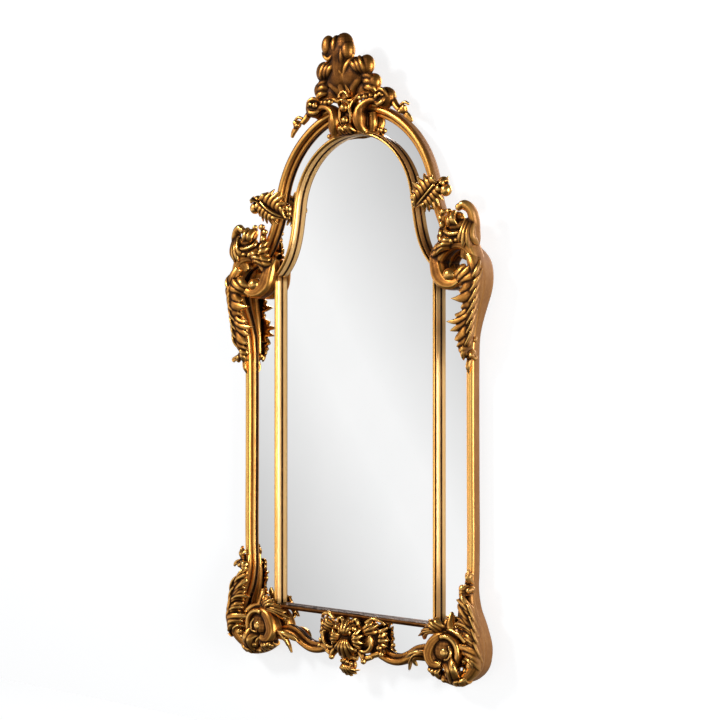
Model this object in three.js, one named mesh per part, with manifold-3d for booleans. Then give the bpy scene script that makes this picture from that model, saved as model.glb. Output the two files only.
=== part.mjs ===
// Full-length wall mirror in a gilt rococo margin frame, in millimetres.
// +X is right, +Z is up and the front faces -Y. The origin lies on the wall that the mirror hangs on.
import * as THREE from 'three';
import { mergeVertices } from 'three/addons/utils/BufferGeometryUtils.js';
import Module from 'manifold-3d';

const wasm = await Module();
wasm.setup();

// ---- driving dimensions -------------------------------------------------------------------------
const GAP = 0.3;                    // left between pieces that touch

// depth planes along Y, from the wall forwards
const PAD_T = 10;                   // the wall pads hold the board this far off the wall
const BOARD_BACK = -PAD_T;
const BOARD_FRONT = BOARD_BACK - 10.7;
const GLASS_BACK = BOARD_FRONT - GAP;
const GLASS_FRONT = GLASS_BACK - 4;
const FRAME_BACK = BOARD_BACK - 8;  // rear edge of the outer frame
const OUTER_FRONT = FRAME_BACK - 30;
const INNER_FRONT = GLASS_FRONT - 27;

// inner frame
const ARCH_Z = 474.5;               // centre height of both arches
const SIGHT_R = 223;                // clear radius of the arched mirror
const SIGHT_HALF = 301.7;           // half of the clear width below the shoulders
const INNER_W = 13.5;               // width of the inner moulding
const SHOULDER_Z = 296;             // where the arch flares out onto the straight stile
const RAIL_TOP = -701;
const RAIL_BOTTOM = -715;

// outer frame
const OUTER_R = 300;                // centre-line radius of the outer arch
const OUTER_HALF_W = 16.5;          // half width of the outer moulding
const REBATE = 8;                   // how far the outer moulding laps over the glass
const BOTTOM_HALF_W = 15;           // half width of the scrolled bottom rail

// hangers on the back board
const HANGER_X = 240;
const HANGER_Z = 360;               // height of the ring's hinge
const RING_Y = BOARD_BACK + 4.5;    // height of the hinge line off the board
const WIRE_R = 1.6;
const RING_HALF = 17;
const RING_DROP = 12;               // straight legs, before the round end
const STRAP_W = 14;
const STRAP_LENGTH = 58;
const STRAP_T = 1.5;
const LOOP_R = 3.4;
const SCREW_DROPS = [37, 50];       // below the hinge
const SCREW_R = 1.8;
const SCREW_DEPTH = 9;
const PAD_R = 12;
const PADS = [[150, 640], [300, -640]];

const COLOURS = {
  gilt: [0xb07a32, 0.42, 0.85],
  gilt_side: [0x9c6636, 0.6, 0.4],
  mirror: [0xd8dadc, 0.05, 1.0],
  board: [0x8a6a48, 0.9, 0.0],
  steel: [0xa8a8a4, 0.35, 1.0],
  rubber: [0x2a2a2a, 0.9, 0.0],
};

const object = new THREE.Group();

// ---- helpers --------------------------------------------------------------------------------------
function add(name, geometry, finish) {
  const [color, roughness, metalness] = COLOURS[finish];
  const mesh = new THREE.Mesh(geometry, new THREE.MeshStandardMaterial({ color, roughness, metalness }));
  mesh.name = name;
  object.add(mesh);
}

function solid(geometry) {
  const bare = geometry.clone();
  bare.deleteAttribute('normal');
  bare.deleteAttribute('uv');
  const merged = mergeVertices(bare, 1e-4);
  return new wasm.Manifold(new wasm.Mesh({
    numProp: 3,
    vertProperties: new Float32Array(merged.attributes.position.array),
    triVerts: new Uint32Array(merged.index.array),
  }));
}

function geometryOf(manifold) {
  const mesh = manifold.getMesh();
  const geometry = new THREE.BufferGeometry();
  geometry.setAttribute('position', new THREE.BufferAttribute(new Float32Array(mesh.vertProperties), 3));
  geometry.setIndex(new THREE.BufferAttribute(new Uint32Array(mesh.triVerts), 1));
  return geometry;
}

function joined(...geometries) {
  return geometryOf(geometries.map(solid).reduce((a, b) => a.add(b)));
}

function less(geometry, ...cutters) {
  return geometryOf(cutters.map(solid).reduce((a, b) => a.subtract(b), solid(geometry)));
}

// Points are [x, z] pairs in the plane of the mirror.
const flip = (points) => points.map(([x, z]) => [-x, z]);
const handed = (points, side) => (side > 0 ? points : flip(points));

function curve(points, steps, closed = false) {
  const spine = new THREE.CatmullRomCurve3(
    points.map(([x, z]) => new THREE.Vector3(x, z, 0)), closed, 'centripetal');
  const list = spine.getPoints(steps).map((p) => [p.x, p.y]);
  if (closed) list.pop();
  return list;
}

function offset(path, distance) {
  // positive distances lie to the left of the direction of travel
  return path.map(([x, z], i) => {
    const [ax, az] = path[Math.max(i - 1, 0)];
    const [bx, bz] = path[Math.min(i + 1, path.length - 1)];
    const length = Math.hypot(bx - ax, bz - az);
    return [x - (distance * (bz - az)) / length, z + (distance * (bx - ax)) / length];
  });
}

const band = (path, left, right) => [...offset(path, left), ...offset(path, -right).reverse()];

// the two halves of an arch meet on the centre line
const rightHalf = (points) => points.map(([x, z]) => [Math.max(x, GAP / 2), z]);

function slab(outline, yBack, yFront, bevel = 0, holes = []) {
  const shape = new THREE.Shape(outline.map(([x, z]) => new THREE.Vector2(x, z)));
  shape.holes = holes.map((hole) => new THREE.Path(hole.map(([x, z]) => new THREE.Vector2(x, z))));
  const geometry = new THREE.ExtrudeGeometry(shape, {
    depth: yBack - yFront - 2 * bevel,
    bevelEnabled: bevel > 0,
    bevelThickness: bevel,
    bevelSize: bevel,
    bevelOffset: -bevel,
    bevelSegments: 1,
    steps: 1,
  });
  geometry.rotateX(Math.PI / 2);
  geometry.translate(0, yBack - bevel, 0);
  return geometry;
}

function lobes(cx, cz, radius, depth, count, steps) {
  // a round flower or shell outline with soft petals
  return Array.from({ length: steps }, (_, i) => {
    const angle = (2 * Math.PI * i) / steps;
    const r = radius - depth * (1 - Math.abs(Math.cos((count * angle) / 2)));
    return [cx + r * Math.cos(angle), cz + r * Math.sin(angle)];
  });
}

function arc(cx, cz, r, fromDeg, toDeg, steps) {
  return Array.from({ length: steps + 1 }, (_, i) => {
    const angle = THREE.MathUtils.degToRad(fromDeg + ((toDeg - fromDeg) * i) / steps);
    return [cx + r * Math.cos(angle), cz + r * Math.sin(angle)];
  });
}

function flare(start, c1, c2, end, steps) {
  const bezier = new THREE.CubicBezierCurve(
    new THREE.Vector2(...start), new THREE.Vector2(...c1), new THREE.Vector2(...c2), new THREE.Vector2(...end));
  return bezier.getPoints(steps).map((p) => [p.x, p.y]);
}

// ---- the frame's lines, drawn for the right-hand side -----------------------------------------------
// sight edge of the mirror's top: a round arch, then a hollow flare out to the shoulder
const sightTop = [
  ...arc(0, ARCH_Z, SIGHT_R, 90, 8, 12),
  ...flare([221.5, 500], [232, 430], [238, 350], [SIGHT_HALF, SHOULDER_Z], 6).slice(1),
];
const outerArch = [
  ...arc(0, ARCH_Z, OUTER_R, 90, 10, 12),
  ...flare([295.4, 526.6], [304, 478], [322, 420], [368, 362], 6).slice(1),
];
// outer stile: a scroll at the shoulder, a straight run, and a second scroll at the foot
const outerStile = [
  ...curve([[398, 351], [443, 330], [468, 302], [475, 266], [471, 232], [460, 200], [445, 160],
    [431, 110], [427, 60], [426.5, 15]], 16),
  ...curve([[426.5, -545], [425, -595], [434, -648], [456, -700], [471, -756], [461, -800],
    [430, -828], [385, -842]], 15),
];
const bottomRail = curve([[300, -786], [265, -779], [235, -786], [205, -804], [172, -817],
  [140, -817], [105, -806]], 10);

// the line on which the outer moulding's rebate holds the glass and the board
const LAP = OUTER_HALF_W - REBATE;
const edgeArch = offset(outerArch, -LAP - GAP);
const edgeStile = offset(outerStile, -LAP - GAP);
const edgeRail = offset(bottomRail, -BOTTOM_HALF_W + REBATE - GAP);

// ---- glass and board ---------------------------------------------------------------------------------
function makeGlass() {
  const mid = INNER_W / 2;
  const middleX = SIGHT_HALF + mid;
  const middleZ = (RAIL_TOP + RAIL_BOTTOM) / 2;
  const innerTop = offset(sightTop, mid - GAP);
  const outerTop = offset(sightTop, mid + GAP);

  const right = [...innerTop, [middleX - GAP, SHOULDER_Z - 4], [middleX - GAP, middleZ + GAP]];
  const whole = [...right, ...flip(right.slice(1)).reverse()];
  add('center_mirror', slab(whole, GLASS_BACK, GLASS_FRONT), 'mirror');

  for (const [side, word] of [[1, 'right'], [-1, 'left']]) {
    const nudge = (points) => points.map(([x, z], i) => [i === 0 ? GAP : x, z]);
    const arch = [...nudge(outerTop), ...nudge(edgeArch).reverse()];
    add(`arch_mirror_${word}`, slab(handed(arch, side), GLASS_BACK, GLASS_FRONT), 'mirror');

    const flank = [[middleX + GAP, SHOULDER_Z - 4], [306.9, 300.2], [361.6, 355.4], ...edgeStile,
      [middleX + GAP, -783.6]];
    add(`side_mirror_${word}`, slab(handed(flank, side), GLASS_BACK, GLASS_FRONT), 'mirror');

    const foot = [[GAP, middleZ - GAP], [middleX - GAP, middleZ - GAP], [middleX - GAP, -783.2],
      ...edgeRail, [GAP, -790]];
    add(`bottom_mirror_${word}`, slab(handed(foot, side), GLASS_BACK, GLASS_FRONT), 'mirror');
  }
}

const side = [...edgeArch, ...edgeStile, ...edgeRail, [0, -790]];
const boardOutline = [...side, ...flip(side.slice(1, -1)).reverse()];

function screwHole(x, z) {
  const length = SCREW_DEPTH + 4;
  const hole = new THREE.CylinderGeometry(SCREW_R + GAP, SCREW_R + GAP, length, 10);
  hole.translate(x, BOARD_BACK + 3 - length / 2, z);
  return hole;
}

function makeBoard() {
  const holes = [-1, 1].flatMap((s) => SCREW_DROPS.map((drop) => screwHole(s * HANGER_X, HANGER_Z - drop)));
  add('back_board', less(slab(boardOutline, BOARD_BACK, BOARD_FRONT), ...holes), 'board');
}

// ---- mouldings ----------------------------------------------------------------------------------------
// Section of the straight inner stile, [across, y]: a round bead on the mirror's side and a low step.
const innerSection = [[0, GLASS_FRONT - GAP], [0, INNER_FRONT + 6], [1.5, INNER_FRONT + 1.5],
  [5, INNER_FRONT], [8.5, INNER_FRONT + 1.5], [10, INNER_FRONT + 6], [INNER_W, INNER_FRONT + 8],
  [INNER_W, GLASS_FRONT - GAP]];

function makeInnerFrame() {
  const stileTop = SHOULDER_Z - 1;
  const stileBottom = RAIL_TOP + GAP;
  for (const [sign, word] of [[1, 'right'], [-1, 'left']]) {
    const profile = new THREE.Shape(innerSection.map(([a, y]) => new THREE.Vector2(sign * (SIGHT_HALF + a), y)));
    const stile = new THREE.ExtrudeGeometry(profile, { depth: stileTop - stileBottom, bevelEnabled: false });
    stile.translate(0, 0, stileBottom);
    add(`inner_stile_${word}`, stile, 'gilt');

    const arch = rightHalf(band(sightTop, INNER_W, 0));
    add(`inner_arch_${word}`, slab(handed(arch, sign), GLASS_FRONT - GAP, INNER_FRONT), 'gilt');
  }
  const end = SIGHT_HALF + INNER_W;
  const rail = [[-end, RAIL_BOTTOM], [end, RAIL_BOTTOM], [end, RAIL_TOP], [-end, RAIL_TOP]];
  add('inner_bottom_rail', slab(rail, GLASS_FRONT - GAP, INNER_FRONT, 2), 'gilt');
}

function makeOuterFrame() {
  const paths = { outer_arch: outerArch, outer_stile: outerStile, bottom_rail: bottomRail };
  for (const [sign, word] of [[1, 'right'], [-1, 'left']]) {
    for (const [piece, path] of Object.entries(paths)) {
      // full width in front of the glass, and behind it only the outer leg of the rebate
      const half = piece === 'bottom_rail' ? BOTTOM_HALF_W : OUTER_HALF_W;
      const front = handed(rightHalf(band(path, half, half)), sign);
      const leg = handed(rightHalf(band(path, half, REBATE - half)), sign);
      add(`${piece}_${word}`, joined(
        slab(front, GLASS_FRONT - GAP, OUTER_FRONT),
        slab(leg, FRAME_BACK, GLASS_FRONT - 4),
      ), 'gilt_side');
    }
  }
}

// ---- carved ornament ------------------------------------------------------------------------------------
const OVER_OUTER = OUTER_FRONT - GAP;   // back of an ornament that sits on the outer moulding
const OVER_INNER = INNER_FRONT - GAP;   // back of one that also crosses the inner moulding

function ball(x, y, z, radius) {
  const sphere = new THREE.SphereGeometry(radius, 10, 7);
  sphere.translate(x, y, z);
  return sphere;
}

function pair(name, make) {
  add(`${name}_right`, make(1), 'gilt');
  add(`${name}_left`, make(-1), 'gilt');
}

function makeShoulder() {
  const leaf = curve([[233, 500], [246, 468], [268, 476], [292, 455], [312, 474], [336, 466], [345, 496],
    [368, 492], [386, 514], [368, 536], [342, 532], [318, 556], [300, 536], [272, 545], [256, 524]], 30, true);
  pair('arch_leaf', (s) => slab(handed(leaf, s), OVER_INNER, OVER_INNER - 26, 4));

  const hook = curve([[450, 366], [460, 400], [464, 432], [452, 455], [434, 460], [420, 447]], 10);
  const cup = curve([[366, 450], [392, 436], [398, 412], [430, 404], [456, 400], [472, 372], [456, 352],
    [424, 358], [384, 362], [362, 392], [348, 424]], 22, true);
  pair('shoulder_curl', (s) => joined(
    slab(handed(band(hook, 11, 11), s), OVER_OUTER, OVER_OUTER - 24, 3),
    slab(handed(cup, s), OVER_OUTER, OVER_OUTER - 28, 4),
  ));

  const cx = 380;
  const cz = 290;
  const ring = [...arc(cx, cz, 60, 62, 318, 15), ...arc(cx, cz, 34, 318, 62, 12)];
  pair('shoulder_scroll', (s) => slab(handed(ring, s), OVER_OUTER, OVER_OUTER - 28, 3));
  pair('shoulder_boss', (s) => ball(s * (cx + 2), OVER_OUTER - 14, cz - 10, 19));

  const acanthus = curve([[454, 340], [474, 320], [489, 290], [492, 260], [486, 222], [472, 184], [458, 148],
    [450, 108], [446, 60], [446, 26], [428, 16], [412, 42], [408, 62], [414, 78], [396, 88], [408, 100],
    [388, 110], [404, 126], [374, 142], [404, 158], [420, 176], [396, 206], [424, 222], [438, 246],
    [444, 270], [446, 300], [440, 324]], 54, true);
  pair('side_acanthus', (s) => slab(handed(acanthus, s), OVER_OUTER, OVER_OUTER - 32, 1.5));
}

function makeCorner() {
  const cx = 368;
  const cz = -772;
  const ring = [...arc(cx, cz, 57, 20, 300, 16), ...arc(cx, cz, 32, 300, 20, 12)];
  pair('corner_scroll', (s) => slab(handed(ring, s), OVER_OUTER, OVER_OUTER - 30, 3));
  pair('corner_boss', (s) => ball(s * cx, OVER_OUTER - 16, cz, 22));

  const acanthus = curve([[426, -528], [444, -540], [442, -590], [448, -640], [464, -684], [480, -720],
    [489, -752], [486, -782], [470, -810], [445, -834], [415, -850], [380, -858], [350, -850], [352, -836],
    [384, -836], [412, -818], [432, -796], [436, -764], [426, -726], [408, -706], [394, -686], [410, -668],
    [400, -648], [414, -634], [402, -618], [418, -606], [408, -590], [422, -572], [418, -550]], 58, true);
  pair('corner_acanthus', (s) => slab(handed(acanthus, s), OVER_OUTER, OVER_OUTER - 26, 1.5));

  const spray = curve([[247, -742], [262, -718], [288, -702], [306, -684], [326, -694], [342, -686],
    [358, -666], [364, -688], [356, -706], [332, -722], [308, -736], [288, -730], [270, -738]], 26, true);
  pair('corner_leaf', (s) => slab(handed(spray, s), OVER_INNER, OVER_INNER - 20, 3));
}

function makeCrest() {
  const plume = curve([[-32, 807], [-36, 852], [-37, 906], [-60, 932], [-88, 950], [-86, 986], [-58, 1001],
    [-34, 995], [-6, 1005], [28, 990], [50, 958], [42, 932], [36, 906], [36, 852], [32, 807]], 36, true);
  add('crest_plume', slab(plume, OVER_OUTER, OVER_OUTER - 54, 6), 'gilt');

  const upper = lobes(80, 896, 38, 6, 7, 21);
  const lower = lobes(95, 846, 32, 5, 7, 21);
  const web = curve([[42, 816], [66, 812], [96, 828], [96, 870], [90, 890], [66, 890], [42, 872]], 14, true);
  pair('crest_shell', (s) => joined(
    slab(handed(upper, s), OVER_OUTER, OVER_OUTER - 38, 4),
    slab(handed(lower, s), OVER_OUTER, OVER_OUTER - 30, 4),
    slab(handed(web, s), OVER_OUTER, OVER_OUTER - 26, 4),
  ));

  const flower = lobes(137, 794, 31, 6, 6, 24);
  const tendril = curve([[128, 776], [168, 772], [186, 756], [204, 758], [224, 764], [230, 744], [214, 728],
    [194, 732], [176, 746], [150, 758]], 20, true);
  const arm = curve([[70, 716], [71, 744], [84, 774], [112, 796]], 7);
  pair('crest_spray', (s) => joined(
    slab(handed(flower, s), OVER_OUTER, OVER_OUTER - 26, 4),
    slab(handed(tendril, s), OVER_OUTER, OVER_OUTER - 20, 3),
    slab(handed(band(arm, 8, 8), s), OVER_OUTER, OVER_OUTER - 22, 3),
  ));

  const collar = curve([[-96, 700], [-60, 706], [-54, 750], [-58, 790], [-30, 798.5], [0, 799.5], [30, 798.5],
    [58, 790], [54, 750], [60, 706], [96, 700], [66, 688], [0, 684], [-66, 688]], 42, true);
  add('crest_collar', slab(collar, OVER_INNER, OVER_INNER - 32, 2), 'gilt');
}

function makeCartouche() {
  const body = curve([[-138, -722], [-100, -704], [-40, -708], [0, -702], [40, -708], [100, -704], [138, -722],
    [126, -752], [108, -772], [104, -800], [82, -812], [76, -834], [52, -828], [36, -816], [0, -820],
    [-36, -816], [-52, -828], [-76, -834], [-82, -812], [-104, -800], [-108, -772], [-126, -752]], 44, true);
  add('cartouche', slab(body, OVER_INNER, OVER_INNER - 34, 3), 'gilt');
  const shell = curve([[-26, -822], [0, -825], [26, -822], [38, -840], [40, -862], [22, -874], [0, -880],
    [-22, -874], [-40, -862], [-38, -840]], 20, true);
  add('cartouche_shell', slab(shell, OUTER_FRONT + 4, OUTER_FRONT - 30, 4), 'gilt');
}

// ---- hanging hardware -------------------------------------------------------------------------------------
function makeHangers() {
  const drop = new THREE.CurvePath();
  const at = (x, z) => new THREE.Vector3(x, RING_Y, HANGER_Z + z);
  drop.add(new THREE.LineCurve3(at(-RING_HALF, 0), at(-RING_HALF, -RING_DROP)));
  drop.add(new THREE.CatmullRomCurve3(arc(0, -RING_DROP, RING_HALF, 180, 360, 6).map(([x, z]) => at(x, z))));
  drop.add(new THREE.LineCurve3(at(RING_HALF, -RING_DROP), at(RING_HALF, 0)));
  const wire = new THREE.Shape();
  wire.absarc(0, 0, WIRE_R, 0, 2 * Math.PI);

  for (const [sign, word] of [[1, 'right'], [-1, 'left']]) {
    const x = sign * HANGER_X;
    const bow = new THREE.ExtrudeGeometry(wire, { extrudePath: drop, steps: 14, curveSegments: 4 });
    const bar = new THREE.CylinderGeometry(WIRE_R, WIRE_R, 2 * (RING_HALF + WIRE_R), 12);
    bar.rotateZ(Math.PI / 2);
    bar.translate(0, RING_Y, HANGER_Z);
    const ring = joined(bow, bar);
    ring.translate(x, 0, 0);
    add(`hanger_ring_${word}`, ring, 'steel');

    const plate = new THREE.BoxGeometry(STRAP_W, STRAP_T, STRAP_LENGTH);
    plate.translate(x, BOARD_BACK + GAP + STRAP_T / 2, HANGER_Z - STRAP_LENGTH / 2);
    const loop = new THREE.CylinderGeometry(LOOP_R + STRAP_T / 2, LOOP_R + STRAP_T / 2, STRAP_W - 0.2, 16);
    loop.rotateZ(Math.PI / 2);
    loop.translate(x, RING_Y + GAP + 0.25, HANGER_Z);
    const eye = new THREE.CylinderGeometry(WIRE_R + 0.5, WIRE_R + 0.5, STRAP_W + 2, 16);
    eye.rotateZ(Math.PI / 2);
    eye.translate(x, RING_Y, HANGER_Z);
    const holes = SCREW_DROPS.map((d) => screwHole(x, HANGER_Z - d));
    add(`hanger_strap_${word}`, less(joined(plate, loop), eye, ...holes), 'steel');

    SCREW_DROPS.forEach((d, i) => {
      const head = GAP + STRAP_T + GAP;
      const profile = [[0, 0.6 - SCREW_DEPTH], [SCREW_R, 2 - SCREW_DEPTH], [SCREW_R, head], [3.8, head],
        [2.4, head + 1.9], [0, head + 2.2]];
      const screw = new THREE.LatheGeometry(profile.map(([r, y]) => new THREE.Vector2(r, y)), 10);
      screw.translate(x, BOARD_BACK, HANGER_Z - d);
      add(`hanger_screw_${word}_${i + 1}`, screw, 'steel');
    });
  }

  for (const [sign, word] of [[1, 'right'], [-1, 'left']]) {
    PADS.forEach(([x, z], i) => {
      const pad = new THREE.CylinderGeometry(PAD_R, PAD_R, PAD_T - GAP, 20);
      pad.translate(sign * x, -(PAD_T - GAP) / 2, z);
      add(`wall_pad_${i === 0 ? 'upper' : 'lower'}_${word}`, pad, 'rubber');
    });
  }
}

makeGlass();
makeBoard();
makeInnerFrame();
makeOuterFrame();
makeShoulder();
makeCorner();
makeCrest();
makeCartouche();
makeHangers();

export default object;
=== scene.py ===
"""Looks of the full-length gilt rococo wall mirror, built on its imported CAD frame."""

import math

import bpy
import numpy as np
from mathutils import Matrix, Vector


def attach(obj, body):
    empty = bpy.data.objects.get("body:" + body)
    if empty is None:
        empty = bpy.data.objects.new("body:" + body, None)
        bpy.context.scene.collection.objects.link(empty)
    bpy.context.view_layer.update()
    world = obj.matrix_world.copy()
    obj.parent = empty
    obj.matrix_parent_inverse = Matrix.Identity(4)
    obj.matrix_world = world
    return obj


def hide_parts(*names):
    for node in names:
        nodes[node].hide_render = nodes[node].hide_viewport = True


MM = 0.001
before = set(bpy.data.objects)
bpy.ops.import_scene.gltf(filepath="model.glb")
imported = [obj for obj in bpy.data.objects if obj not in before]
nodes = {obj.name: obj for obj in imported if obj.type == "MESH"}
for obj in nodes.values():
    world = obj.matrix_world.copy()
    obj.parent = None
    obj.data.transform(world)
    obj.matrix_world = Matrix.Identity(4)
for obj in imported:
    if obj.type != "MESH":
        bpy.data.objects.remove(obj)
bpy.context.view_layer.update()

# ---- places shared with the CAD, in millimetres from the part's origin
SEAT = -25.3             # y of the rear of the mouldings, which lie on the glass
FRAME_BACK = -18.0       # y of the outer moulding's rear, behind the glass
CARVING_BACK = -25.5     # y of the carvings' rear
SIGHT_HALF = 301.7       # half of the clear width between the inner stiles
INNER_W = 13.5           # width of the inner moulding
SHOULDER_Z = 296.0       # where the inner arch's flare meets the stile
RAIL_TOP = -701.0        # top of the inner bottom rail
ARCH_Z = 474.5           # centre of both arches
MIDDLE_GAP = 0.15        # how far from the middle each half of a mirrored pair ends
FRONT = np.array([0.0, -1.0, 0.0])
WORDS = {1: "right", -1: "left"}
WHITE = (1.0, 1.0, 1.0, 1.0)
FINE_VOXEL = 1.7
VOXEL = FINE_VOXEL


# ---- curves
def smooth_curve(rows, step):
    """A smooth curve through the rows, evenly spaced along its first three columns."""
    rows = np.asarray(rows, float)
    gaps = np.linalg.norm(np.diff(rows[:, :3], axis=0), axis=1)
    knots = np.concatenate([[0.0], np.cumsum(gaps)])
    slopes = np.gradient(rows, knots, axis=0)
    count = max(int(knots[-1] / step), 5) + 1
    s = np.linspace(0.0, knots[-1], count)
    i = np.clip(np.searchsorted(knots, s, side="right") - 1, 0, len(rows) - 2)
    span = (knots[i + 1] - knots[i])[:, None]
    t = (s - knots[i])[:, None] / span
    return (
        (2 * t**3 - 3 * t**2 + 1) * rows[i] + (t**3 - 2 * t**2 + t) * span * slopes[i]
        + (3 * t**2 - 2 * t**3) * rows[i + 1] + (t**3 - t**2) * span * slopes[i + 1]
    )


def arc(cx, cz, radius, start, end, count):
    """Points on a circle, with its angles in degrees from +X."""
    angles = np.radians(np.linspace(start, end, count))
    return np.stack([cx + radius * np.cos(angles), cz + radius * np.sin(angles)], axis=1)


def flare(a, b, c, d, count):
    """A cubic Bezier curve without its first point, which the curve before it has."""
    t = np.linspace(0, 1, count)[1:, None]
    a, b, c, d = (np.array(p, float) for p in (a, b, c, d))
    return (1 - t) ** 3 * a + 3 * (1 - t) ** 2 * t * b + 3 * (1 - t) * t**2 * c + t**3 * d


def lefts(path):
    """Unit vectors to the left of the direction of travel, in the XZ plane."""
    along = np.gradient(path, axis=0)
    along /= np.linalg.norm(along, axis=1)[:, None]
    return np.stack([-along[:, 1], along[:, 0]], axis=1)


# ---- meshes
def new_object(name, verts, faces, smooth=True):
    """verts in millimetres, in the row frame."""
    mesh = bpy.data.meshes.new(name)
    mesh.from_pydata((np.asarray(verts) * MM).tolist(), [], faces)
    mesh.validate()
    mesh.update()
    if smooth:
        mesh.shade_smooth()
    obj = bpy.data.objects.new(name, mesh)
    bpy.context.scene.collection.objects.link(obj)
    return obj


def tube(rings):
    """A closed skin over rings of points, with a fan at each end."""
    rows, around = rings.shape[:2]
    verts = np.concatenate([rings.reshape(-1, 3), rings[:1].mean(1), rings[-1:].mean(1)])
    faces = []
    for r in range(rows - 1):
        for k in range(around):
            n = (k + 1) % around
            faces.append((r * around + k, r * around + n, (r + 1) * around + n, (r + 1) * around + k))
    first, last = rows * around, rows * around + 1
    end = (rows - 1) * around
    faces += [((k + 1) % around, k, first) for k in range(around)]
    faces += [(end + k, end + (k + 1) % around, last) for k in range(around)]
    return verts, faces


def outward(verts, faces):
    """Turns the faces so that they look out of the closed skin."""
    volume = 0.0
    for face in faces:
        for k in range(1, len(face) - 1):
            volume += np.dot(verts[face[0]], np.cross(verts[face[k]], verts[face[k + 1]]))
    return verts, faces if volume > 0 else [face[::-1] for face in faces]


def merged(pieces):
    """The pieces' vertices and faces as one list of each."""
    verts, faces, base = [], [], 0
    for piece_verts, piece_faces in pieces:
        verts.append(piece_verts)
        faces += [tuple(i + base for i in face) for face in piece_faces]
        base += len(piece_verts)
    return np.concatenate(verts), faces


def vertex_rows(mesh, name):
    """A vector property of the vertices, one row for each."""
    values = np.empty(len(mesh.vertices) * 3)
    mesh.vertices.foreach_get(name, values)
    return values.reshape(-1, 3)


def paint(obj, name, values):
    """Writes one number for each vertex, which a material reads by its name."""
    layer = obj.data.attributes.new(name, "FLOAT", "POINT")
    layer.data.foreach_set("value", np.asarray(values, np.float32))


# ---- materials
def nodes_of(material):
    material.use_nodes = True
    tree = material.node_tree
    return tree, tree.nodes["Principled BSDF"]


def feed(tree, node, inputs):
    """Links another node's output to each input, or sets it to a plain value."""
    for key, value in inputs.items():
        if isinstance(value, bpy.types.NodeSocket):
            tree.links.new(value, node.inputs[key])
        else:
            node.inputs[key].default_value = value


def add_node(tree, kind, inputs=None, **settings):
    node = tree.nodes.new(kind)
    for key, value in settings.items():
        setattr(node, key, value)
    feed(tree, node, inputs or {})
    return node


def ramp(tree, factor, stops):
    """A colour ramp. Each stop is a position with a colour, or with one number for a grey."""
    node = add_node(tree, "ShaderNodeValToRGB", {"Fac": factor})
    elements = node.color_ramp.elements
    while len(elements) < len(stops):
        elements.new(0.5)
    for element, (position, colour) in zip(elements, stops):
        element.position = position
        element.color = (*(colour if isinstance(colour, tuple) else (colour,) * 3), 1.0)
    return node.outputs["Color"]


def maths(tree, operation, *values):
    return add_node(tree, "ShaderNodeMath", dict(enumerate(values)), operation=operation).outputs["Value"]


def centred(tree, value, span):
    """Turns a noise from 0 to 1 into one about 0, span wide."""
    return maths(tree, "MULTIPLY_ADD", value, span, -span / 2)


def blend_colours(tree, factor, low, high, blend="MIX"):
    colours = {0: factor, 6: low, 7: high}        # a Mix node's inputs for colour
    return add_node(tree, "ShaderNodeMix", colours, data_type="RGBA", blend_type=blend).outputs[2]


def noise(tree, scale, detail=4.0, stretch=None):
    place = add_node(tree, "ShaderNodeTexCoord").outputs["Object"]
    if stretch:
        place = add_node(tree, "ShaderNodeMapping", {"Vector": place, "Scale": stretch}).outputs["Vector"]
    return add_node(tree, "ShaderNodeTexNoise", {
        "Vector": place, "Scale": scale, "Detail": detail, "Roughness": 0.6}).outputs["Fac"]


# Colours by tone, which holds wear and painted shade: from the brown size and painted shade in the hollows
# to the leaf that is rubbed bright.
LEAF_RAMP = [(0.0, (0.028, 0.010, 0.003)), (0.2, (0.15, 0.052, 0.010)), (0.42, (0.36, 0.140, 0.028)),
             (0.66, (0.74, 0.32, 0.062)), (1.0, (1.00, 0.56, 0.15))]
MATT_RAMP = [(0.2, (0.20, 0.080, 0.020)), (0.5, (0.33, 0.138, 0.036)), (0.8, (0.56, 0.30, 0.10))]
WASHED_RAMP = [(0.2, (0.22, 0.10, 0.035)), (0.62, (0.62, 0.33, 0.12)), (0.76, (0.94, 0.55, 0.20)),
               (1.0, (1.00, 0.68, 0.29))]
CLOUDS, GRAINS = 34.0, 330.0         # noise scales, for patches of some 30 mm and for grains of 3 mm


def gilt(name, streaks=None):
    """Antique gold leaf over brown size. The vertices' tone is how far it is rubbed bright, lowered by
    painted shade in hollows, in seams and on faces that look up; matt is for the flat ochre of the flanks,
    and pale for the washed gold of the bars."""
    material = bpy.data.materials.new(name)
    tree, shader = nodes_of(material)
    tone, matt, pale = (add_node(tree, "ShaderNodeAttribute", attribute_name=label).outputs["Fac"]
                        for label in ("tone", "matt", "pale"))
    clouds = noise(tree, CLOUDS, stretch=streaks)
    grains = noise(tree, GRAINS, detail=3.0, stretch=streaks)
    drift, speckle = centred(tree, clouds, 0.42), centred(tree, grains, 0.34)
    # shade_and_wear: the painted tone, with its painted shade, plus random drift and speckle
    shade_and_wear = maths(tree, "ADD", maths(tree, "ADD", tone, drift), speckle)
    uneven = maths(tree, "ADD", maths(tree, "ADD", drift, speckle), 0.5)
    colour = blend_colours(tree, matt, ramp(tree, shade_and_wear, LEAF_RAMP), ramp(tree, uneven, MATT_RAMP))
    colour = blend_colours(tree, pale, colour, ramp(tree, shade_and_wear, WASHED_RAMP))
    # brighter toned gold, rubbed or with less painted shade, is smoother and matt ochre rougher, and both
    # washes are less metallic
    rough = maths(tree, "SUBTRACT", 0.50, maths(tree, "MULTIPLY", shade_and_wear, 0.24))
    rough = maths(tree, "ADD", rough, maths(tree, "MULTIPLY", matt, 0.16))
    dull = maths(tree, "MAXIMUM", matt, pale)
    metal = maths(tree, "SUBTRACT", 0.94, maths(tree, "MULTIPLY", dull, 0.60))
    bump = add_node(tree, "ShaderNodeBump", {"Height": grains, "Strength": 0.12, "Distance": 0.0008})
    feed(tree, shader, {"Base Color": colour, "Roughness": rough, "Metallic": metal,
                        "Normal": bump.outputs[0]})
    return material


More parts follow.
